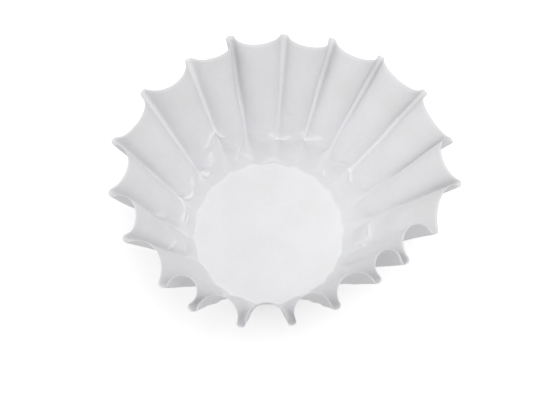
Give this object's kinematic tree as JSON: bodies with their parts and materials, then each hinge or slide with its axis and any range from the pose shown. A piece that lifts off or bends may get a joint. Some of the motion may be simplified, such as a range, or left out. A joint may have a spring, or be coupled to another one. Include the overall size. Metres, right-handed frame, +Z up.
{
  "type": "paper coffee filter",
  "caption": "Basket coffee filter pressed from one round sheet of white paper: a flat base and a wall of deep soft flutes that opens towards a scalloped rim.",
  "frame": {"origin": "centre of the underside of the flat base", "axes": "+Z up out of the filter's mouth, -Y towards the front, +X to the right"},
  "size_m": [0.2889, 0.2636, 0.1295],
  "materials": {
    "paper": "matte"
  },
  "bodies": {
    "root": {"coffee_filter": "paper"}
  },
  "joints": []
}
